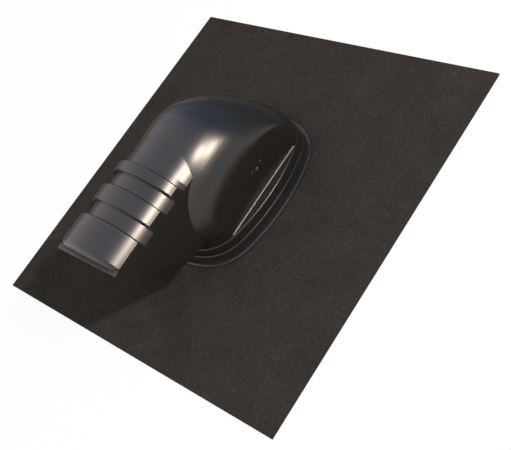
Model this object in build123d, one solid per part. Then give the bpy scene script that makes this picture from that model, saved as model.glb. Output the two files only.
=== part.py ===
"""Roof lead-through: a square felt sheet, an oval base frame and a clip-over hood.

Units are millimetres. +Z points away from the roof, +Y points up the slope and the
spout of the hood points down the slope, to -Y. The origin is the middle of the
underside of the felt sheet.
"""
import os
from math import atan2, cos, degrees, hypot, radians, sin, sqrt

from build123d import *

os.makedirs("parts", exist_ok=True)

# Felt sheet
FELT_SIZE = 500.0
FELT_THICKNESS = 3.0

# Oval shared by the base frame and the hood, given at the edge of the hood's ledge
OVAL_HALF_WIDTH = 80.5
OVAL_SIDE_RADIUS = 248.0
OVAL_END_RADIUS = 108.7
OVAL_CORNER_RADIUS = 53.0

# Base frame, with offsets measured outwards from that oval
FLANGE_OUT = 9.0
FLANGE_SHOULDER_OUT = 6.8
FLANGE_THICKNESS = 3.5
FLANGE_EDGE_FALL = 1.0
FLANGE_EDGE_BEVEL = 0.3
FELT_LAP = 10.0
UPSTAND_FOOT_OUT = 3.1
UPSTAND_TOP_OUT = 2.5
UPSTAND_HEIGHT = 14.8
UPSTAND_WALL = 2.5
SPIGOT_HEIGHT = 8.0
SPIGOT_WALL = 2.0
SPIGOT_CLEARANCE = 0.3
DECK_THICKNESS = 3.0
LOCATING_RIB_WIDTH = 2.5
LOCATING_RIB_CLEARANCE = 0.5

# Pipe sleeve, standing in the deck of the base frame
SLEEVE_SIDE_ROOM = 13.0
SLEEVE_WALL = 2.6
SLEEVE_HEIGHT = 66.0
SLEEVE_CLEARANCE = 0.2
SLEEVE_COLLAR_WIDTH = 10.4
SLEEVE_COLLAR_THICKNESS = 2.4
GUSSET_COUNT = 8
GUSSET_THICKNESS = 2.2
GUSSET_HEIGHT = 14.0

# Hood wall and foot
HOOD_WALL = 2.5
LIP_RECESS = 0.9
LIP_HEIGHT = 2.6
SKIRT_FOOT_OUT = 0.9
LEDGE_HEIGHT = 27.0
LEDGE_EDGE_EASING = 0.9
WALL_ROOT_BEVEL = 1.2
FOOT_INSET = 1.1
BULGE_EDGE_RADIUS = 5.0
BULGE_EDGE_STEPS = 3

# Dome: a fan of half-ellipses turning about a crosswise axis
LEDGE_WIDTH = 12.5
DOME_AXIS_Y = 1.0
DOME_AXIS_HEIGHT = 27.0
DOME_FRONT_REACH = 109.9
DOME_BACK_REACH = 107.9
DOME_RISE = 126.5
DOME_FRONT_FULLNESS = 3.2
DOME_BACK_FULLNESS = 1.41
FLAT_FRONT_REACH = 77.7
FLAT_BACK_REACH = 72.5
FLAT_RISE = 55.6
FLAT_FULLNESS = 3.2
DOME_SECTION_STEP = 12
DOME_CORE_RADIUS = 8.0
DOME_SIDE_TRIM = 0.05

# Spout: a stepped round tube with flat cheeks and a slanted open mouth
CHEEK_SET_IN = 15.0
NECK_ROUND_OUT = 7.0
NECK_DROP = 0.5
STEP_HEIGHT = 6.0
STEP_EDGE_BEVEL = 1.4
STEP_ROOT_BEVEL = 1.0
STEP_SPANS = ((-73.6, -88.2), (-107.4, -130.6), (-150.2, -193.0))
TIP_EDGE_RADIUS = 4.0
TIP_EASING_SHARE = 0.3
NECK_JOIN_SHARE = 0.1
SHELF_HEIGHT = 46.0
MOUTH_FOOT_Y = -124.4
MOUTH_LIP_PROUD = 1.2
MOUTH_LIP_WIDTH = 2.4
DRIP_EDGE_REACH = 4.2
DRIP_EDGE_THICKNESS = 1.6
DRIP_EDGE_OVERHANG = 1.6

# Screw fixing in each side wall
SCREW_Y = 11.2
SCREW_HEIGHT = 56.0
SCREW_HEAD_RADIUS = 3.7
SCREW_HEAD_HEIGHT = 2.0
SCREW_HEAD_BEVEL = 1.2
SCREW_SHANK_RADIUS = 1.75
SCREW_LENGTH = 9.0
SCREW_HOLE_CLEARANCE = 0.35
SCREW_DRIVE_RADIUS = 1.3
SCREW_DRIVE_DEPTH = 1.0
PILOT_CLEARANCE = 0.05
SCREW_TIP_CLEARANCE = 0.3
COUNTERBORE_CLEARANCE = 1.0
COUNTERBORE_DEPTH = 1.6
PAD_RADIUS = 8.0
PAD_THICKNESS = 2.4
BOSS_RADIUS = 4.5
BOSS_CLEARANCE = 0.2
PIP_RADIUS = 2.4
PIP_HEIGHT = 1.3
PIP_BEVEL = 0.9
PIP_SPACING = 17.4
PIP_RISE = 4.2
SLIT_SPACING = 24.0
SLIT_WIDTH = 1.0
SLIT_DEPTH = 0.5
SLIT_BOTTOM_HEIGHT = 40.5
SLIT_TOP_HEIGHT = 57.0
BUTTON_SIDES = 24

# Levels at which the hood shell is parted: above the pipe sleeve, and at the shoulder
PARTING_ABOVE_SLEEVE = 2.0
SHOULDER_HEIGHT = 120.0

DOME_HALF_WIDTH = OVAL_HALF_WIDTH - LEDGE_WIDTH
SPOUT_HALF_WIDTH = DOME_HALF_WIDTH - CHEEK_SET_IN
NECK_RADIUS = SPOUT_HALF_WIDTH + NECK_ROUND_OUT
SLEEVE_BORE_RADIUS = DOME_HALF_WIDTH - SLEEVE_SIDE_ROOM
FELT_TOP = FELT_THICKNESS
DECK_TOP = FELT_TOP + DECK_THICKNESS
UPSTAND_TOP = FELT_TOP + UPSTAND_HEIGHT
SLEEVE_OUTER_RADIUS = SLEEVE_BORE_RADIUS + SLEEVE_WALL
SLEEVE_COLLAR_RADIUS = SLEEVE_OUTER_RADIUS + SLEEVE_COLLAR_WIDTH
LEDGE_TOP = FELT_TOP + LEDGE_HEIGHT
SHELF_TOP = FELT_TOP + SHELF_HEIGHT
DOME_AXIS_Z = FELT_TOP + DOME_AXIS_HEIGHT
SPOUT_AXIS_Z = DOME_AXIS_Z + DOME_RISE - NECK_DROP - NECK_RADIUS
SCREW_Z = FELT_TOP + SCREW_HEIGHT
SCREW_SEAT_X = DOME_HALF_WIDTH - COUNTERBORE_DEPTH
BOSS_END = DOME_HALF_WIDTH - HOOD_WALL - PAD_THICKNESS - BOSS_CLEARANCE
STEP_RADIUS = NECK_RADIUS + STEP_HEIGHT
TIP_Y = STEP_SPANS[-1][1]
TIP_FOOT_Z = SPOUT_AXIS_Z + sqrt(STEP_RADIUS**2 - SPOUT_HALF_WIDTH**2)
HOOD_TOP = DOME_AXIS_Z + DOME_RISE + HOOD_WALL
OVERLAP = 1.0
MATCH = 0.01
STANDING = (Align.CENTER, Align.CENTER, Align.MIN)


def oval_face(offset, z):
    """Flat-sided oval of tangent arcs, grown outwards by offset, lying at height z."""
    side_x = OVAL_HALF_WIDTH - OVAL_SIDE_RADIUS
    to_side = OVAL_SIDE_RADIUS - OVAL_CORNER_RADIUS
    to_end = OVAL_END_RADIUS - OVAL_CORNER_RADIUS
    corner_x = (to_side**2 - to_end**2 - side_x**2) / (-2 * side_x)
    corner_y = sqrt(to_end**2 - corner_x**2)
    side_turn = degrees(atan2(corner_y, corner_x - side_x))
    end_turn = degrees(atan2(corner_y, corner_x))
    side_r = OVAL_SIDE_RADIUS + offset
    corner_r = OVAL_CORNER_RADIUS + offset
    end_r = OVAL_END_RADIUS + offset
    arcs = [
        CenterArc((side_x, 0), side_r, -side_turn, 2 * side_turn),
        CenterArc((corner_x, corner_y), corner_r, side_turn, end_turn - side_turn),
        CenterArc((0, 0), end_r, end_turn, 180 - 2 * end_turn),
        CenterArc((-corner_x, corner_y), corner_r, 180 - end_turn, end_turn - side_turn),
        CenterArc((-side_x, 0), side_r, 180 - side_turn, 2 * side_turn),
        CenterArc((-corner_x, -corner_y), corner_r, 180 + side_turn, end_turn - side_turn),
        CenterArc((0, 0), end_r, 180 + end_turn, 180 - 2 * end_turn),
        CenterArc((corner_x, -corner_y), corner_r, -end_turn, end_turn - side_turn),
    ]
    return Pos(0, 0, z) * make_face(Curve(children=arcs).edges())


def oval_prism(offset, low, high):
    """Straight-sided oval block between two heights."""
    return extrude(oval_face(offset, low), high - low)


def oval_taper(low_offset, low, high_offset, high):
    """Oval block whose offset changes evenly from one height to the other."""
    return loft([oval_face(low_offset, low), oval_face(high_offset, high)], ruled=True)


def oval_eased(low_offset, low, high_offset, high, easing):
    """Tapered oval block whose upper edge is bevelled."""
    shoulder = high - easing
    block = oval_taper(low_offset, low, high_offset, shoulder)
    return block + oval_taper(high_offset, shoulder, high_offset - easing, high)


def crosswise_prism(points, half_width):
    """Outline of (y, z) points pushed out to both sides of the middle plane."""
    side_plane = Plane(origin=(-half_width, 0, 0), x_dir=(0, 1, 0), z_dir=(1, 0, 0))
    outline = side_plane * make_face(Polyline(*points, close=True).edges())
    return extrude(outline, 2 * half_width)


def rounded_reach(angle, level_reach, rise, fullness):
    """Distance from the dome's axis to a rounded profile, at an angle from level."""
    along = abs(cos(angle)) / level_reach
    upward = abs(sin(angle)) / rise
    return (along**fullness + upward**fullness) ** (-1 / fullness)


def dome_section(turn, inset):
    """Half-ellipse over flat sides, in the plane at this turn about the dome's axis."""
    angle = radians(turn)
    if turn <= 90:
        crown = rounded_reach(angle, DOME_FRONT_REACH, DOME_RISE, DOME_FRONT_FULLNESS)
        flat = rounded_reach(angle, FLAT_FRONT_REACH, FLAT_RISE, FLAT_FULLNESS)
    else:
        crown = rounded_reach(angle, DOME_BACK_REACH, DOME_RISE, DOME_BACK_FULLNESS)
        flat = rounded_reach(angle, FLAT_BACK_REACH, FLAT_RISE, FLAT_FULLNESS)
    half = DOME_HALF_WIDTH + DOME_SIDE_TRIM - inset
    arch = EllipticalCenterArc((0, flat), half, crown - inset - flat, start_angle=0, arc_size=180)
    sides = Polyline((-half, flat), (-half, DOME_CORE_RADIUS), (half, DOME_CORE_RADIUS), (half, flat))
    plane = Plane(
        origin=(0, DOME_AXIS_Y, DOME_AXIS_Z),
        x_dir=(1, 0, 0),
        z_dir=(0, -sin(angle), -cos(angle)),
    )
    return plane * make_face([arch, *sides.edges()])


def dome_body(inset):
    """Dome above its axis, with its core filled in and its sides trimmed flat."""
    turns = range(0, 181, DOME_SECTION_STEP)
    fan = loft([dome_section(turn, inset) for turn in turns], ruled=inset > 0)
    axis_place = Pos(0, DOME_AXIS_Y, DOME_AXIS_Z)
    core_reach = DOME_CORE_RADIUS + OVERLAP
    core_width = 2 * (DOME_HALF_WIDTH - inset + DOME_SIDE_TRIM)
    core = axis_place * Box(core_width, 2 * core_reach, core_reach, align=STANDING)
    flat_width = 2 * (DOME_HALF_WIDTH - inset)
    reach = DOME_FRONT_REACH + DOME_BACK_REACH
    return (fan + core) & axis_place * Box(flat_width, 2 * reach, reach, align=STANDING)


def foot_envelope(inset):
    """Space that the dome keeps inside: upright over the ledge, then rounding outwards."""
    low_offset = -FOOT_INSET - inset
    low = SHELF_TOP + inset
    space = oval_prism(low_offset, DOME_AXIS_Z - OVERLAP, low)
    for step in range(1, BULGE_EDGE_STEPS + 1):
        turn = radians(90 * step / BULGE_EDGE_STEPS)
        high_offset = -inset + BULGE_EDGE_RADIUS * sin(turn)
        high = SHELF_TOP + inset + BULGE_EDGE_RADIUS * (1 - cos(turn))
        if step == 1:
            low_offset = -inset
        space += oval_taper(low_offset, low, high_offset, high)
        low_offset = high_offset
        low = high
    return space + oval_prism(low_offset, low, HOOD_TOP)


def step_profile(inset):
    """Half section of the stepped tube as (y, radius) points, from neck to tip."""
    neck = NECK_RADIUS - inset
    step = STEP_RADIUS - inset
    points = [(DOME_AXIS_Y, 0), (DOME_AXIS_Y, neck)]
    for start, end in STEP_SPANS:
        points += [(start - inset, neck), (start - inset, step)]
        if end == TIP_Y:
            points += [(end + inset, step), (end + inset, 0)]
        else:
            points += [(end + inset, step), (end + inset, neck)]
    return points


def stepped_tube(inset):
    """Round tube with raised bands, turned about the spout's level axis."""
    face = make_face(Polyline(*step_profile(inset), close=True).edges())
    if not inset:
        roots = []
        edges = []
        for corner in face.vertices():
            at_tip = abs(corner.X - TIP_Y) < MATCH
            if abs(corner.Y - NECK_RADIUS) < MATCH and corner.X < DOME_AXIS_Y - MATCH:
                roots.append(corner)
            if abs(corner.Y - STEP_RADIUS) < MATCH and not at_tip:
                edges.append(corner)
            if abs(corner.Y - STEP_RADIUS) < MATCH and at_tip:
                tip = corner
        face = chamfer([tip], TIP_EDGE_RADIUS)
        bevel_ends = [corner for corner in face.vertices() if is_bevel_end(corner)]
        face = chamfer(bevel_ends, TIP_EASING_SHARE * TIP_EDGE_RADIUS)
        face = chamfer(match_corners(face, edges), STEP_EDGE_BEVEL)
        face = chamfer(match_corners(face, roots), STEP_ROOT_BEVEL)
    side_plane = Plane(origin=(0, 0, SPOUT_AXIS_Z), x_dir=(0, 1, 0), z_dir=(1, 0, 0))
    spout_axis = Axis((0, 0, SPOUT_AXIS_Z), (0, 1, 0))
    return revolve(side_plane * face, axis=spout_axis)


def is_bevel_end(corner):
    """Whether a profile corner is one of the two ends of the bevel at the spout's tip."""
    on_end = abs(corner.X - TIP_Y) < MATCH and abs(corner.Y - STEP_RADIUS + TIP_EDGE_RADIUS) < MATCH
    on_top = abs(corner.Y - STEP_RADIUS) < MATCH and abs(corner.X - TIP_Y - TIP_EDGE_RADIUS) < MATCH
    return on_end or on_top


def match_corners(face, wanted):
    """Vertices of a face that stand where the wanted ones stood."""
    found = []
    for corner in face.vertices():
        for old in wanted:
            if hypot(corner.X - old.X, corner.Y - old.Y) < MATCH:
                found.append(corner)
    return found


def spout_body(inset):
    """Stepped tube trimmed by flat cheeks, and filled down to the slanted mouth."""
    half = SPOUT_HALF_WIDTH - inset
    tube = stepped_tube(inset)
    top = SPOUT_AXIS_Z + STEP_RADIUS + OVERLAP
    lower = crosswise_prism(
        [
            (DOME_AXIS_Y, SHELF_TOP),
            (DOME_AXIS_Y, SPOUT_AXIS_Z),
            (TIP_Y + inset, SPOUT_AXIS_Z),
            (TIP_Y + inset, SHELF_TOP),
        ],
        half,
    )
    foot_y, foot_z = MOUTH_FOOT_Y, SHELF_TOP
    slope = (TIP_FOOT_Z - foot_z) / (foot_y - TIP_Y)
    if inset:
        below = 2 * inset
        outline = [
            (DOME_AXIS_Y, foot_z + inset),
            (foot_y - 3 * inset, foot_z + inset),
            (TIP_Y + inset, TIP_FOOT_Z - below - inset * slope),
            (TIP_Y + inset, top),
            (DOME_AXIS_Y, top),
        ]
    else:
        outline = [
            (DOME_AXIS_Y, foot_z),
            (foot_y, foot_z),
            (TIP_Y, TIP_FOOT_Z),
            (TIP_Y, top),
            (DOME_AXIS_Y, top),
        ]
    return (tube + lower) & crosswise_prism(outline, half)


def mouth_lip():
    """Rails along both cheeks at the slanted mouth, and the drip edge across its tip."""
    run = MOUTH_FOOT_Y - TIP_Y
    climb = TIP_FOOT_Z - SHELF_TOP
    length = hypot(run, climb)
    normal_y = climb / length * MOUTH_LIP_WIDTH
    normal_z = run / length * MOUTH_LIP_WIDTH
    rail = [
        (MOUTH_FOOT_Y, SHELF_TOP),
        (TIP_Y, TIP_FOOT_Z),
        (TIP_Y + normal_y, TIP_FOOT_Z + normal_z),
        (MOUTH_FOOT_Y + normal_y, SHELF_TOP + normal_z),
    ]
    outer = SPOUT_HALF_WIDTH + MOUTH_LIP_PROUD
    rails = crosswise_prism(rail, outer) - crosswise_prism(rail, SPOUT_HALF_WIDTH - HOOD_WALL)
    drip = [
        (TIP_Y + HOOD_WALL, TIP_FOOT_Z - DRIP_EDGE_THICKNESS),
        (TIP_Y + HOOD_WALL, TIP_FOOT_Z),
        (TIP_Y - DRIP_EDGE_REACH, TIP_FOOT_Z),
        (TIP_Y - DRIP_EDGE_REACH, TIP_FOOT_Z - DRIP_EDGE_THICKNESS),
    ]
    return rails + crosswise_prism(drip, SPOUT_HALF_WIDTH + DRIP_EDGE_OVERHANG)


def side_disc(side, y, z, radius, x):
    """Many-sided disc facing out of one side, at x out from the middle."""
    placed = Plane(origin=(side * x, y, z), x_dir=(0, 1, 0), z_dir=(side, 0, 0))
    return placed * RegularPolygon(radius, BUTTON_SIDES)


def side_cylinder(side, y, z, radius, start_x, end_x):
    """Many-sided cylinder lying along X on one side, between two distances from the middle."""
    return extrude(side_disc(side, y, z, radius, start_x), end_x - start_x)


def side_button(side, y, z, start_x, radius, height, bevel):
    """Round button pointing out of one side, with a bevelled outer edge."""
    outer = -1 if side > 0 else 0
    button = side_cylinder(side, y, z, radius, start_x, start_x + height)
    return chamfer(button.edges().group_by(Axis.X)[outer], bevel)


def felt_sheet():
    """Square sheet with an oval opening that the base frame laps over."""
    sheet = Box(FELT_SIZE, FELT_SIZE, FELT_THICKNESS, align=STANDING)
    return sheet - oval_prism(-FELT_LAP, -OVERLAP, FELT_THICKNESS + OVERLAP)


def base_frame():
    """Flange on the felt, oval upstand, spigot for the hood, and a deck with a round hole."""
    flange_top = FELT_TOP + FLANGE_THICKNESS
    rim_out = FLANGE_OUT - FLANGE_EDGE_BEVEL
    rim_z = flange_top - FLANGE_EDGE_FALL
    edge_z = rim_z - FLANGE_EDGE_BEVEL
    flange = oval_prism(FLANGE_OUT, FELT_TOP, edge_z)
    flange += oval_taper(FLANGE_OUT, edge_z, rim_out, rim_z)
    flange += oval_taper(rim_out, rim_z, FLANGE_SHOULDER_OUT, flange_top)
    upstand = oval_eased(
        UPSTAND_FOOT_OUT, flange_top - OVERLAP, UPSTAND_TOP_OUT, UPSTAND_TOP, LEDGE_EDGE_EASING
    )
    spigot_out = -HOOD_WALL - SPIGOT_CLEARANCE
    spigot_top = UPSTAND_TOP + SPIGOT_HEIGHT
    spigot = oval_prism(spigot_out, UPSTAND_TOP - OVERLAP, spigot_top)
    well = oval_prism(spigot_out - SPIGOT_WALL, DECK_TOP, spigot_top + OVERLAP)
    frame = flange + upstand + spigot - well
    hollow_top = UPSTAND_TOP - UPSTAND_WALL
    hollow = oval_prism(UPSTAND_TOP_OUT - UPSTAND_WALL, FELT_TOP - OVERLAP, hollow_top)
    hollow -= oval_prism(spigot_out, FELT_TOP - 2 * OVERLAP, hollow_top + OVERLAP)
    frame -= hollow
    rib_out = -FELT_LAP - LOCATING_RIB_CLEARANCE
    rib = oval_prism(rib_out, 0, FELT_TOP + OVERLAP)
    rib -= oval_prism(rib_out - LOCATING_RIB_WIDTH, -OVERLAP, FELT_TOP)
    hole = Cylinder(SLEEVE_OUTER_RADIUS + SLEEVE_CLEARANCE, DECK_TOP + OVERLAP, align=STANDING)
    return frame + rib - hole


def pipe_sleeve():
    """Round sleeve for the pipe, with a stiffened collar on the deck and two screw bosses."""
    sleeve = Cylinder(SLEEVE_OUTER_RADIUS, SLEEVE_HEIGHT, align=STANDING)
    sleeve = chamfer(sleeve.edges().group_by(Axis.Z)[-1], SLEEVE_WALL / 3)
    collar = Cylinder(SLEEVE_COLLAR_RADIUS, SLEEVE_COLLAR_THICKNESS, align=STANDING)
    sleeve += Pos(0, 0, DECK_TOP) * collar
    gusset_run = SLEEVE_COLLAR_RADIUS - SLEEVE_BORE_RADIUS - SLEEVE_WALL / 2
    gusset_outline = Polyline(
        (0, 0),
        (gusset_run, 0),
        (gusset_run, SLEEVE_COLLAR_THICKNESS),
        (0, SLEEVE_COLLAR_THICKNESS + GUSSET_HEIGHT),
        close=True,
    )
    gusset = extrude(Plane.XZ * make_face(gusset_outline.edges()), GUSSET_THICKNESS / 2, both=True)
    gusset = Pos(SLEEVE_BORE_RADIUS + SLEEVE_WALL / 2, 0, DECK_TOP) * gusset
    for number in range(GUSSET_COUNT):
        sleeve += Rot(0, 0, 360 / GUSSET_COUNT * (number + 0.5)) * gusset
    for side in (-1, 1):
        sleeve += side_cylinder(side, SCREW_Y, SCREW_Z, BOSS_RADIUS, SLEEVE_BORE_RADIUS, BOSS_END)
    bore_height = SLEEVE_HEIGHT + 2 * OVERLAP
    sleeve -= Pos(0, 0, -OVERLAP) * Cylinder(SLEEVE_BORE_RADIUS, bore_height, align=STANDING)
    pilot_start = SCREW_SEAT_X - SCREW_LENGTH - SCREW_TIP_CLEARANCE
    pilot_radius = SCREW_SHANK_RADIUS + PILOT_CLEARANCE
    for side in (-1, 1):
        sleeve -= side_cylinder(side, SCREW_Y, SCREW_Z, pilot_radius, pilot_start, BOSS_END + OVERLAP)
    return sleeve


def soften_neck(body):
    """Round the arched crease where the dome runs into the neck of the spout."""
    crease = []
    for edge in body.edges().filter_by(GeomType.BSPLINE):
        middle = edge @ 0.5
        before_steps = middle.Y > STEP_SPANS[0][0]
        if before_steps and abs(middle.X) < 1 and edge.length > 2 * SPOUT_HALF_WIDTH:
            crease.append(edge)
    return fillet(crease, NECK_JOIN_SHARE * NECK_RADIUS)


def wall_root():
    """Bevelled strip where each flat side wall stands on the ledge."""
    low = LEDGE_TOP - OVERLAP
    high = LEDGE_TOP + WALL_ROOT_BEVEL
    root_x = DOME_HALF_WIDTH - OVERLAP
    outline = Polyline(
        (root_x, low),
        (DOME_HALF_WIDTH + WALL_ROOT_BEVEL + OVERLAP, low),
        (DOME_HALF_WIDTH, high),
        (root_x, high),
        close=True,
    )
    strip = extrude(Plane.XZ * make_face(outline.edges()), DOME_HALF_WIDTH, both=True)
    strips = strip + mirror(strip, about=Plane.YZ)
    return strips & oval_prism(-LEDGE_EDGE_EASING, low, high)


def hood_shell():
    """One moulded shell: skirt, ledge, flat-sided dome and stepped spout."""
    lip_top = UPSTAND_TOP + LIP_HEIGHT
    skirt = oval_eased(SKIRT_FOOT_OUT, lip_top, 0, LEDGE_TOP, LEDGE_EDGE_EASING)
    skirt += oval_prism(-LIP_RECESS, UPSTAND_TOP, lip_top + OVERLAP)
    outer_dome = dome_body(0) & foot_envelope(0)
    body = soften_neck(outer_dome + spout_body(0))
    outer = skirt + body + mouth_lip() + wall_root()
    inner_skirt = oval_prism(-HOOD_WALL, UPSTAND_TOP - OVERLAP, LEDGE_TOP - HOOD_WALL)
    inner_dome = dome_body(HOOD_WALL) & foot_envelope(HOOD_WALL)
    throat = oval_prism(-FOOT_INSET - HOOD_WALL, LEDGE_TOP - HOOD_WALL - OVERLAP, DOME_AXIS_Z + OVERLAP)
    half = DOME_HALF_WIDTH - HOOD_WALL
    throat &= crosswise_prism(
        [
            (-OVAL_END_RADIUS, UPSTAND_TOP),
            (OVAL_END_RADIUS, UPSTAND_TOP),
            (OVAL_END_RADIUS, SHELF_TOP),
            (-OVAL_END_RADIUS, SHELF_TOP),
        ],
        half,
    )
    shell = outer - inner_skirt - inner_dome - throat - spout_body(HOOD_WALL)
    pad_root = half + HOOD_WALL / 2
    pad_face = half - PAD_THICKNESS
    for side in (-1, 1):
        shell += side_cylinder(side, SCREW_Y, SCREW_Z, PAD_RADIUS, pad_face, pad_root)
        for end in (-1, 1):
            pip_y = SCREW_Y + end * PIP_SPACING / 2
            pip_z = SCREW_Z + PIP_RISE
            pip_root = DOME_HALF_WIDTH - OVERLAP
            pip_length = OVERLAP + PIP_HEIGHT
            shell += side_button(side, pip_y, pip_z, pip_root, PIP_RADIUS, pip_length, PIP_BEVEL)
    for side in (-1, 1):
        head_room = SCREW_HEAD_RADIUS + COUNTERBORE_CLEARANCE
        shank_room = SCREW_SHANK_RADIUS + SCREW_HOLE_CLEARANCE
        shell -= side_cylinder(side, SCREW_Y, SCREW_Z, head_room, SCREW_SEAT_X, DOME_HALF_WIDTH + OVERLAP)
        shell -= side_cylinder(side, SCREW_Y, SCREW_Z, shank_room, pad_face - OVERLAP, SCREW_SEAT_X)
        for end in (-1, 1):
            slit_height = SLIT_TOP_HEIGHT - SLIT_BOTTOM_HEIGHT
            shell -= Pos(
                side * DOME_HALF_WIDTH,
                SCREW_Y + end * SLIT_SPACING / 2,
                FELT_TOP + SLIT_BOTTOM_HEIGHT + slit_height / 2,
            ) * Box(2 * SLIT_DEPTH, SLIT_WIDTH, slit_height)
    return shell


def hood_parts(shell):
    """Shell parted in four: the spout, and the rest in skirt, walls and crown by height."""
    spout_room = Pos(0, HOOD_WALL - DOME_HALF_WIDTH, SHELF_TOP) * Box(
        FELT_SIZE, FELT_SIZE, FELT_SIZE, align=(Align.CENTER, Align.MAX, Align.MIN)
    )
    parts = {"hood_spout": shell & spout_room}
    rest = shell - spout_room
    parting = SLEEVE_HEIGHT + PARTING_ABOVE_SLEEVE
    low_room = Box(FELT_SIZE, FELT_SIZE, parting, align=STANDING)
    wall_room = Box(FELT_SIZE, FELT_SIZE, FELT_TOP + SHOULDER_HEIGHT, align=STANDING)
    parts["hood_skirt"] = rest & low_room
    parts["hood_walls"] = (rest - low_room) & wall_room
    parts["hood_crown"] = rest - wall_room
    return parts


def hood_screw(side):
    """Round-head screw lying along X, seated in the counterbore of one side wall."""
    head = side_button(
        side, SCREW_Y, SCREW_Z, SCREW_SEAT_X, SCREW_HEAD_RADIUS, SCREW_HEAD_HEIGHT, SCREW_HEAD_BEVEL
    )
    tip_x = SCREW_SEAT_X - SCREW_LENGTH
    point = SCREW_SHANK_RADIUS / 2
    shank_end = SCREW_SEAT_X + OVERLAP / 2
    shank = side_cylinder(side, SCREW_Y, SCREW_Z, SCREW_SHANK_RADIUS, tip_x, shank_end)
    shank = chamfer(shank.edges().group_by(Axis.X)[0 if side > 0 else -1], point)
    drive_x = side * (SCREW_SEAT_X + SCREW_HEAD_HEIGHT - SCREW_DRIVE_DEPTH)
    drive_plane = Plane(origin=(drive_x, SCREW_Y, SCREW_Z), x_dir=(0, 1, 0), z_dir=(side, 0, 0))
    drive = extrude(drive_plane * RegularPolygon(SCREW_DRIVE_RADIUS, 6), SCREW_DRIVE_DEPTH + OVERLAP)
    return head + shank - drive


nodes = {
    "felt_sheet": felt_sheet(),
    "base_frame": base_frame(),
    "pipe_sleeve": pipe_sleeve(),
    **hood_parts(hood_shell()),
    "screw_left": hood_screw(-1),
    "screw_right": hood_screw(1),
}
for name, shape in nodes.items():
    export_step(shape, f"parts/{name}.step")
    print(name, "volume", round(shape.volume), "solids", len(shape.solids()))
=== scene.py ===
# %% [markdown]
# # Pipe flashing boot: felt, black plastic and daylight
#
# On a roof this part lets a pipe or a bundle of lines pass through the covering without
# letting the rain in. A square sheet of mineral felt is bonded to the roof, an oval frame
# sits in its middle, and a domed hood with a stepped spout is clipped and screwed over it.
#
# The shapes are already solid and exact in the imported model, so this lesson is about the
# half that a solid can't show: what each surface is made of, and how light meets it. The
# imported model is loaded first, and nothing in it is moved. Its box is kept, because the
# cards near the end stand just off the sheet's edge.

import bpy
from mathutils import Matrix, Vector


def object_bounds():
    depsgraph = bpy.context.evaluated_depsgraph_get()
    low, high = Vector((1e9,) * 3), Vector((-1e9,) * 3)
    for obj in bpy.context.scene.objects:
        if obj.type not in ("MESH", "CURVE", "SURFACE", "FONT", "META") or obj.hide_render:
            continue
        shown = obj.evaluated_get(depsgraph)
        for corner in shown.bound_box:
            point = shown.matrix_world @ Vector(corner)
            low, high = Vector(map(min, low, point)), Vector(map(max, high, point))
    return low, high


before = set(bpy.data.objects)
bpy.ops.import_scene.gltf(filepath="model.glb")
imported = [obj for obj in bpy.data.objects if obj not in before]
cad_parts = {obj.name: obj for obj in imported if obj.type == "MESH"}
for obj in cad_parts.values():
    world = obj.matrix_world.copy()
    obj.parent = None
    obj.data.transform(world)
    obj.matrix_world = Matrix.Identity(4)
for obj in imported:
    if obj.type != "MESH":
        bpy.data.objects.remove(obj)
cad_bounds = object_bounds()
scene = bpy.context.scene
print("nodes:", sorted(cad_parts))
print("solid model's box:", [[round(value, 4) for value in corner] for corner in cad_bounds])

# %% [markdown]
# ## Where the camera stands
#
# A photograph of a square sheet gives its own viewpoint away: four corners in the picture
# and one known size are enough to work out where the lens was and how long it was. Here
# that place is written as a position, a direction to look along and a direction that is up.
# A camera could also be aimed with a Track To constraint, but then its roll is only
# whatever the constraint picks. Three directions that are square to each other, set as the
# columns of a matrix, give the roll as well. Blender's camera looks along its own -Z.

# %% Place the camera
CAMERA_PLACE = Vector((0.7978, -0.3182, 0.8228))
LOOK_ALONG = Vector((-0.6459, 0.2479, -0.7221)).normalized()
CAMERA_UP = Vector((-0.2789, 0.8038, 0.5255)).normalized()
LENS_MM = 64.98
SENSOR_WIDTH_MM = 36.0

camera_data = bpy.data.cameras.new("camera")
camera_data.lens = LENS_MM
camera_data.sensor_width = SENSOR_WIDTH_MM
camera_data.sensor_fit = "HORIZONTAL"
camera = bpy.data.objects.new("camera", camera_data)
camera_right = LOOK_ALONG.cross(CAMERA_UP).normalized()
level_up = camera_right.cross(LOOK_ALONG)
turned = Matrix((camera_right, level_up, -LOOK_ALONG)).transposed()
camera.matrix_world = Matrix.Translation(CAMERA_PLACE) @ turned.to_4x4()
scene.collection.objects.link(camera)
scene.camera = camera
print("camera", tuple(round(value, 3) for value in CAMERA_PLACE), "lens", LENS_MM, "mm")

# %% [markdown]
# ## A small kit for making materials
#
# Every finish below is a chain of nodes. Written out in full, each node takes four or five
# lines, so a few short helpers do it. Two begin the chain: one makes an empty material and
# hands back its shader, and one adds a node and fills its sockets. Four are for the nodes
# that come again and again: a noise, a piece of arithmetic, a ramp that turns a grey value
# into a colour, and a mix of two colours. A number that is the same all over a surface is
# always set on the shader's own socket. Only what changes from place to place is linked.
#
# A mix node has sockets for numbers, vectors and colours under the same names, so its
# colour sockets are picked by their place in the list.

# %% Helpers that begin a chain of nodes
def new_finish(name):
    """Empty node material, with its tree and its main shader."""
    finish = bpy.data.materials.new(name)
    finish.use_nodes = True
    tree = finish.node_tree
    return finish, tree, tree.nodes["Principled BSDF"]


def add_node(tree, kind, inputs, **settings):
    """Node of one kind. An input that is a node socket is linked, a value is set."""
    node = tree.nodes.new(kind)
    for key, value in settings.items():
        setattr(node, key, value)
    for key, value in inputs.items():
        if isinstance(value, bpy.types.NodeSocket):
            tree.links.new(value, node.inputs[key])
        else:
            node.inputs[key].default_value = value
    return node


print("helpers that begin a chain are ready")

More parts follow.
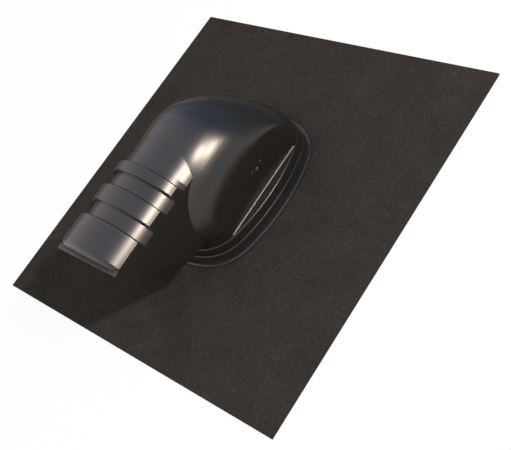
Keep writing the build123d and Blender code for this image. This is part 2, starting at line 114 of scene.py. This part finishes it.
# %% Helpers for the nodes that come again and again
MIX_FACTOR = 0
MIX_FIRST = 6
MIX_SECOND = 7
MIX_RESULT = 2


def add_noise(tree, place, scale, detail, roughness=0.5):
    """Grey noise with so many patches to the metre, and finer ones inside them."""
    sockets = {"Vector": place, "Scale": scale, "Detail": detail, "Roughness": roughness}
    return add_node(tree, "ShaderNodeTexNoise", sockets).outputs["Fac"]


def add_math(tree, operation, *values):
    """One number worked out from numbers or sockets."""
    node = add_node(tree, "ShaderNodeMath", dict(enumerate(values)), operation=operation)
    return node.outputs["Value"]


def add_ramp(tree, source, stops):
    """Colour ramp fed by a grey socket. Each stop is a place and a colour or a grey."""
    node = add_node(tree, "ShaderNodeValToRGB", {"Fac": source})
    elements = node.color_ramp.elements
    while len(elements) < len(stops):
        elements.new(1.0)
    for element, (place, tone) in zip(elements, stops):
        element.position = place
        element.color = (*tone, 1.0) if isinstance(tone, tuple) else (tone, tone, tone, 1.0)
    return node.outputs["Color"]


def add_mix(tree, first, second, factor, blend="MIX"):
    """Colour mix of two colours or sockets."""
    sockets = {MIX_FACTOR: factor, MIX_FIRST: first, MIX_SECOND: second}
    node = add_node(tree, "ShaderNodeMix", sockets, data_type="RGBA", blend_type=blend)
    return node.outputs[MIX_RESULT]


print("helpers for noise, arithmetic, ramps and mixes are ready")

# %% [markdown]
# ## The felt sheet
#
# Roofing felt is a bitumen sheet with fine mineral grit rolled into its face. From a step
# away it reads as one dark olive brown. Nearer, it is a crowd of grains about two
# millimetres wide, some pale, most nearly black, and slow darker patches a hand wide where
# more bitumen has come up between them.
#
# That is three scales, so it takes three textures. Voronoi cells give each grain its own
# tone, a fine noise breaks the cells up so that they don't look like tiles, and a slow
# noise makes the patches. The same grains drive a little bump. The underside and the cut
# edges have no grit, only smooth dark bitumen, so a mask taken from the surface's normal
# keeps the grains on the upper face.

# %% Mineral felt
GRAIN_PER_METRE = 520.0
GRIT_PER_METRE = 950.0
PATCH_PER_METRE = 17.0
PATCH_DARKEST = 0.80
GRAIN_HEIGHT = 0.0004
GRAIN_BUMP = 0.35
FELT_DARK = (0.0289, 0.0261, 0.0220)
FELT_BODY = (0.0366, 0.0320, 0.0260)
FELT_PALE = (0.0510, 0.0452, 0.0370)
BITUMEN = (0.022, 0.020, 0.018, 1.0)
FELT_ROUGHNESS = 0.85
FELT_SHINE = 0.12


def make_felt():
    """Bitumen with mineral grains on the face that looks up."""
    finish, tree, shader = new_finish("felt_mineral")
    place = add_node(tree, "ShaderNodeTexCoord", {}).outputs["Object"]
    grain = add_node(
        tree, "ShaderNodeTexVoronoi", {"Vector": place, "Scale": GRAIN_PER_METRE}
    ).outputs
    grit = add_noise(tree, place, GRIT_PER_METRE, 3.0, 0.7)
    patch = add_noise(tree, place, PATCH_PER_METRE, 3.0, 0.6)

    tone = add_node(tree, "ShaderNodeSeparateColor", {"Color": grain["Color"]}).outputs["Red"]
    grains = add_ramp(
        tree, tone, ((0.0, FELT_DARK), (0.35, FELT_BODY), (0.8, FELT_BODY), (1.0, FELT_PALE))
    )
    broken_up = add_ramp(tree, grit, ((0.3, 0.42), (0.7, 0.58)))
    gritty = add_mix(tree, grains, broken_up, 0.5, "OVERLAY")
    patches = add_ramp(tree, patch, ((0.35, PATCH_DARKEST), (0.65, 1.0)))
    coloured = add_mix(tree, gritty, patches, 1.0, "MULTIPLY")

    normal = add_node(tree, "ShaderNodeNewGeometry", {}).outputs["Normal"]
    upward = add_node(tree, "ShaderNodeSeparateXYZ", {"Vector": normal}).outputs["Z"]
    on_top = add_ramp(tree, upward, ((0.5, 0.0), (0.7, 1.0)))
    tree.links.new(add_mix(tree, BITUMEN, coloured, on_top), shader.inputs["Base Color"])

    height = add_mix(tree, grain["Distance"], grit, 0.5)
    bump = add_node(
        tree,
        "ShaderNodeBump",
        {"Height": height, "Strength": GRAIN_BUMP, "Distance": GRAIN_HEIGHT},
    )
    tree.links.new(bump.outputs["Normal"], shader.inputs["Normal"])
    shader.inputs["Roughness"].default_value = FELT_ROUGHNESS
    shader.inputs["Specular IOR Level"].default_value = FELT_SHINE
    return finish


felt = make_felt()
print("made", felt.name, "grain about", round(1000 / GRAIN_PER_METRE, 1), "mm")

# %% [markdown]
# ## The moulded plastic
#
# The hood and the frame are injection moulded in the same black plastic. The hood left a
# polished mould and is glossy. The frame, and the sleeve inside, are a little duller. Black
# gloss shows almost none of its own colour: what the eye reads is what it mirrors, so the
# life of the finish is in its roughness and in how level the skin is. A real moulding is
# never dead flat. It has a slow ripple from shrinking in the mould, a fine orange peel, and
# a haze from handling that comes and goes.
#
# One function makes both finishes. The haze is a noise that drives the roughness, and a
# little of the colour. The ripple and the peel are two noises that drive the bump, one
# after the other. The bump stays faint, because a strong peel would break the reflections
# of lamps into spots.

# %% Black moulded plastic
HAZE_PER_METRE = 11.0
HAZE_TINT = 1.35
RIPPLE_PER_METRE = 28.0
RIPPLE_HEIGHT = 0.001
RIPPLE_BUMP = 0.06
PEEL_PER_METRE = 900.0
PEEL_HEIGHT = 0.0002
HOOD_BLACK = (0.0100, 0.0086, 0.0066)
FRAME_BLACK = (0.0110, 0.0096, 0.0078)


def make_plastic(name, black, smoothest, dullest, peel_bump):
    """Black moulded skin with a haze in its gloss, a slow ripple and a fine peel."""
    finish, tree, shader = new_finish(name)
    place = add_node(tree, "ShaderNodeTexCoord", {}).outputs["Object"]
    haze = add_noise(tree, place, HAZE_PER_METRE, 5.0, 0.65)
    gloss = add_ramp(tree, haze, ((0.35, smoothest), (0.7, dullest)))
    tree.links.new(gloss, shader.inputs["Roughness"])
    hazed_black = tuple(HAZE_TINT * value for value in black)
    tint = add_ramp(tree, haze, ((0.3, black), (0.75, hazed_black)))
    tree.links.new(tint, shader.inputs["Base Color"])

    ripple = add_noise(tree, place, RIPPLE_PER_METRE, 1.0)
    slow = add_node(
        tree,
        "ShaderNodeBump",
        {"Height": ripple, "Strength": RIPPLE_BUMP, "Distance": RIPPLE_HEIGHT},
    ).outputs["Normal"]
    peel = add_noise(tree, place, PEEL_PER_METRE, 2.0)
    fine = add_node(
        tree,
        "ShaderNodeBump",
        {"Height": peel, "Strength": peel_bump, "Distance": PEEL_HEIGHT, "Normal": slow},
    ).outputs["Normal"]
    tree.links.new(fine, shader.inputs["Normal"])
    return finish


hood_gloss = make_plastic(
    "hood_gloss_black", HOOD_BLACK, smoothest=0.28, dullest=0.31, peel_bump=0.015
)
frame_satin = make_plastic(
    "frame_satin_black", FRAME_BLACK, smoothest=0.34, dullest=0.42, peel_bump=0.05
)
print("made", hood_gloss.name, "and", frame_satin.name)

# %% [markdown]
# ## The screws
#
# Two short screws hold the hood to the sleeve. They are steel with a thin black coat, and
# a driver rubs the coat off the edges first. The Pointiness of the Geometry node would find
# those edges, but on a mesh with few faces it is coarse. A fine noise that lets a little
# bare steel through does the same from any distance a viewer will have.

# %% Coated steel
FLECK_PER_METRE = 1400.0
BLACK_COAT = (0.02, 0.02, 0.021, 1.0)
BARE_STEEL = (0.32, 0.31, 0.30, 1.0)
COAT_METALLIC = 0.6


def make_coated_steel():
    """Black coat over steel, worn through in small flecks."""
    finish, tree, shader = new_finish("screw_black_coat")
    place = add_node(tree, "ShaderNodeTexCoord", {}).outputs["Object"]
    fleck = add_noise(tree, place, FLECK_PER_METRE, 4.0)
    worn = add_ramp(tree, fleck, ((0.56, 0.0), (0.66, 1.0)))
    tree.links.new(add_mix(tree, BLACK_COAT, BARE_STEEL, worn), shader.inputs["Base Color"])
    gloss = add_ramp(tree, fleck, ((0.4, 0.28), (0.7, 0.45)))
    tree.links.new(gloss, shader.inputs["Roughness"])
    shader.inputs["Metallic"].default_value = COAT_METALLIC
    return finish


screw_coat = make_coated_steel()
print("made", screw_coat.name)

# %% [markdown]
# ## Giving each solid its finish
#
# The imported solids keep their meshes. Only the material in each object's slots changes, so
# nothing here can move a wall or fill a hole. The hood is one moulding that was packed in
# four parts, and all four wear the same finish. Its textures are placed by the object's own
# coordinates, which the four parts share, so no seam shows between them.

# %% Dress the solids
FINISH_OF_NODE = {
    "felt_sheet": felt,
    "base_frame": frame_satin,
    "pipe_sleeve": frame_satin,
    "hood_skirt": hood_gloss,
    "hood_walls": hood_gloss,
    "hood_crown": hood_gloss,
    "hood_spout": hood_gloss,
    "screw_left": screw_coat,
    "screw_right": screw_coat,
}
for node_name, finish in FINISH_OF_NODE.items():
    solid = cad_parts[node_name]
    if not solid.material_slots:
        solid.data.materials.append(finish)
    for slot in solid.material_slots:
        slot.link = "OBJECT"
        slot.material = finish
    print(node_name, "wears", finish.name)

# %% [markdown]
# ## The floor
#
# The picture was taken against plain white. A lamp strong enough to burn a grey floor out
# to white would burn the object out too, so the white has to come from the floor itself.
# Where a camera, a mirror-like surface or glass looks at it, most of what they see is an
# even white of strength one. The rest is an ordinary matt floor, which still catches the
# shadow of the sheet and throws soft light back up.

# %% White floor that keeps the shadow
FLOOR_SIZE = 12.0
FLOOR_DROP = 0.0004
FLOOR_PAINT = (0.92, 0.92, 0.92, 1.0)
EVEN_WHITE = (1.0, 1.0, 1.0, 1.0)
EVEN_SHARE = 0.94


def make_floor_white():
    """Matt paint, and an even white for whatever looks at it or mirrors it."""
    finish, tree, _ = new_finish("floor_white")
    tree.nodes.clear()
    path = add_node(tree, "ShaderNodeLightPath", {}).outputs
    seen = add_math(tree, "MAXIMUM", path["Is Camera Ray"], path["Is Glossy Ray"])
    seen = add_math(tree, "MAXIMUM", seen, path["Is Transmission Ray"])
    share = add_math(tree, "MULTIPLY", seen, EVEN_SHARE)
    matt = add_node(tree, "ShaderNodeBsdfDiffuse", {"Color": FLOOR_PAINT}).outputs["BSDF"]
    even = add_node(tree, "ShaderNodeEmission", {"Color": EVEN_WHITE, "Strength": 1.0})
    blend = add_node(tree, "ShaderNodeMixShader", {0: share, 1: matt, 2: even.outputs["Emission"]})
    add_node(tree, "ShaderNodeOutputMaterial", {"Surface": blend.outputs["Shader"]})
    return finish


def add_flat_sheet(name, corners, finish):
    """Object of one flat face with four corners, for the floor and the cards."""
    mesh = bpy.data.meshes.new(name)
    mesh.from_pydata(corners, [], [(0, 1, 2, 3)])
    mesh.materials.append(finish)
    sheet = bpy.data.objects.new(name, mesh)
    scene.collection.objects.link(sheet)
    return sheet


half_floor = FLOOR_SIZE / 2
floor_corners = [
    (-half_floor, -half_floor, -FLOOR_DROP),
    (half_floor, -half_floor, -FLOOR_DROP),
    (half_floor, half_floor, -FLOOR_DROP),
    (-half_floor, half_floor, -FLOOR_DROP),
]
floor = add_flat_sheet("floor", floor_corners, make_floor_white())
print("floor", FLOOR_SIZE, "m square")

# %% [markdown]
# ## The light from all round
#
# Black gloss is a mirror, so the room matters more than the lamps. Following a ray from the
# lens to the hood and on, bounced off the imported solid, tells which part of the room each
# patch of the hood shows. Read that way, the picture was lit by a bright, slightly warm sky
# over the spout and by a dim blue one behind the dome.
#
# Three ramps do it. The world's direction is compared with SKY_BRIGHTEST by a dot product,
# which is 1 straight towards it and -1 straight away, and the first ramp turns that number
# into a colour. The second goes by height, and warms the horizon. The third goes from left
# to right across the slope, and dims the right. The colours are written at half strength,
# and the background doubles them. What falls on matt surfaces is an even fill instead,
# kept at a level at which a colour comes out about as it was written.

# %% Sky
SKY_BRIGHTEST = Vector((-0.15, -0.85, 0.50)).normalized()
SKY_STRENGTH = 2.0
SKY_STOPS = (
    (0.125, (0.07, 0.18, 0.33)),
    (0.35, (0.15, 0.29, 0.50)),
    (0.50, (0.42, 0.53, 0.70)),
    (0.65, (0.92, 0.91, 0.92)),
    (0.75, (1.00, 0.97, 0.95)),
    (1.00, (0.84, 0.83, 0.86)),
)
HEIGHT_TINTS = (
    (0.0, (1.00, 0.81, 0.73)),
    (0.5, (0.95, 0.88, 0.90)),
    (1.0, (0.78, 0.82, 0.98)),
)
SIDE_TINTS = (
    (0.15, (1.00, 0.96, 0.93)),
    (0.50, (0.86, 0.87, 0.90)),
    (0.70, (0.68, 0.74, 0.83)),
    (0.88, (0.76, 0.74, 0.74)),
)
FILL = (0.2765, 0.268, 0.287, 1.0)

world = bpy.data.worlds.new("soft_room")
world.use_nodes = True
scene.world = world
world_tree = world.node_tree
direction = add_node(world_tree, "ShaderNodeTexCoord", {}).outputs["Generated"]
likeness = add_node(
    world_tree,
    "ShaderNodeVectorMath",
    {0: direction, 1: SKY_BRIGHTEST},
    operation="DOT_PRODUCT",
).outputs["Value"]
axes = add_node(world_tree, "ShaderNodeSeparateXYZ", {"Vector": direction}).outputs
towards_brightest = add_math(world_tree, "MULTIPLY_ADD", likeness, 0.5, 0.5)
left_to_right = add_math(world_tree, "MULTIPLY_ADD", axes["X"], 0.5, 0.5)

sky = add_ramp(world_tree, towards_brightest, SKY_STOPS)
sky = add_mix(world_tree, sky, add_ramp(world_tree, axes["Z"], HEIGHT_TINTS), 1.0, "MULTIPLY")
sky = add_mix(world_tree, sky, add_ramp(world_tree, left_to_right, SIDE_TINTS), 1.0, "MULTIPLY")
on_matt = add_node(world_tree, "ShaderNodeLightPath", {}).outputs["Is Diffuse Ray"]
background = world_tree.nodes["Background"]
world_tree.links.new(add_mix(world_tree, sky, FILL, on_matt), background.inputs["Color"])
background.inputs["Strength"].default_value = SKY_STRENGTH
brightest = tuple(round(value, 2) for value in SKY_BRIGHTEST)
print("sky of", len(SKY_STOPS), "stops, brightest towards", brightest)

# %% [markdown]
# ## The lamps
#
# The shadow on the sheet tells what the main light was. It is fairly sharp, so the lamp
# was small and far away, and its direction follows from a corner of the hood and the place
# where that corner's shadow falls. It is not black, so about half of the light came from
# all round. The sheet is warmer in the light than in the shade, so the lamp was warm.
#
# A lamp can do two jobs, and they are told apart here. The key lamp does the first: it
# lights matt colour and casts the shadow. Three shine lamps do the second. One draws the
# white streak on the spout, one the white spot on the dome's shoulder and the light line
# at the foot of its wall, and a weak, broad one the thin lines along the edges of the
# frame. A product studio places such lamps one by one and screens each from what it should
# not touch. Blender's screen is light linking: a lamp with a receiver collection reaches
# only what is in it.
#
# The parts of the hood that meet on the shoulder have to share its lamp. Where a lamp
# reaches one and not the next, its shine ends on the joint in a straight line, which
# may only show from another side.

# %% Lamps
SHADOW_FROM = Vector((0.711, 0.302, 0.635)).normalized()
STREAK_FROM = Vector((0.705, 0.155, 0.692)).normalized()
SHOULDER_FROM = Vector((0.820, 0.260, 0.510)).normalized()
LAMP_DISTANCE = 2.5
KEY_WARM = (1.0, 0.93, 0.83)
EDGE_WARM = (1.0, 0.90, 0.82)
SHINE_WARM = (1.0, 0.84, 0.70)


def add_lamp(name, towards, width, power, colour):
    """Round lamp in one direction, aimed at the middle of the sheet."""
    data = bpy.data.lights.new(name, "AREA")
    data.shape = "DISK"
    data.size = width
    data.energy = power
    data.color = colour
    lamp = bpy.data.objects.new(name, data)
    lamp.location = towards * LAMP_DISTANCE
    lamp.rotation_euler = towards.to_track_quat("Z", "Y").to_euler()
    scene.collection.objects.link(lamp)
    print(name, "at", tuple(round(value, 2) for value in lamp.location), power, "W")
    return lamp


def screen_lamp(lamp, *node_names):
    """Let a lamp reach these solids only, and only their shine."""
    receivers = bpy.data.collections.new(lamp.name + "_receivers")
    for node_name in node_names:
        receivers.objects.link(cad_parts[node_name])
    lamp.light_linking.receiver_collection = receivers
    lamp.visible_diffuse = False


key_lamp = add_lamp("key_lamp", SHADOW_FROM, width=0.12, power=51.0, colour=KEY_WARM)
key_lamp.visible_glossy = False
streak_lamp = add_lamp("streak_lamp", STREAK_FROM, width=0.16, power=48.0, colour=SHINE_WARM)
screen_lamp(streak_lamp, "hood_spout", "hood_walls", "hood_crown")
edge_lamp = add_lamp("edge_lamp", STREAK_FROM, width=0.40, power=9.0, colour=EDGE_WARM)
screen_lamp(edge_lamp, "base_frame", "pipe_sleeve", "screw_left", "screw_right")
shoulder_lamp = add_lamp("shoulder_lamp", SHOULDER_FROM, width=0.30, power=50.0, colour=SHINE_WARM)
screen_lamp(shoulder_lamp, "hood_skirt", "hood_walls", "hood_crown")

# %% [markdown]
# ## Cards behind the sheet
#
# At its far edge the hood is seen at a glance, and there even black plastic mirrors a good
# part of what is behind it, which is a white floor. A photographer stands a black card
# there, so that the edge of a dark object stays dark, and a grey one where a softer edge
# is wanted. Both stand just off the sheet here. They are only there for reflections: the
# camera, the shadows and matt surfaces don't see them.

# %% Cards
CARD_GAP = 0.012
CARD_HEIGHT = 0.165
CARD_ROUGHNESS = 0.9
DARK_CARD_RIGHT = 0.20
SLATE = (0.20, 0.25, 0.33, 1.0)
WARM_GREY = (0.20, 0.18, 0.175, 1.0)

half_sheet = cad_bounds[1][0]
card_line = half_sheet + CARD_GAP
CARDS = {
    "dark_card": ((DARK_CARD_RIGHT, card_line), (-card_line, card_line), SLATE),
    "grey_card": ((-card_line, card_line), (-card_line, -half_sheet), WARM_GREY),
}
for card_name, (start, end, tone) in CARDS.items():
    card_finish, _, card_shader = new_finish(card_name)
    card_shader.inputs["Base Color"].default_value = tone
    card_shader.inputs["Roughness"].default_value = CARD_ROUGHNESS
    card_corners = [
        (*start, 0.0),
        (*end, 0.0),
        (*end, CARD_HEIGHT),
        (*start, CARD_HEIGHT),
    ]
    card = add_flat_sheet(card_name, card_corners, card_finish)
    card.visible_camera = False
    card.visible_diffuse = False
    card.visible_shadow = False
    print(card_name, "starts at", [round(value, 3) for value in start])

# %% [markdown]
# ## The view transform
#
# The view transform is Standard, so that a colour comes out as it was written.

# %% Finish
scene.view_settings.view_transform = "Standard"
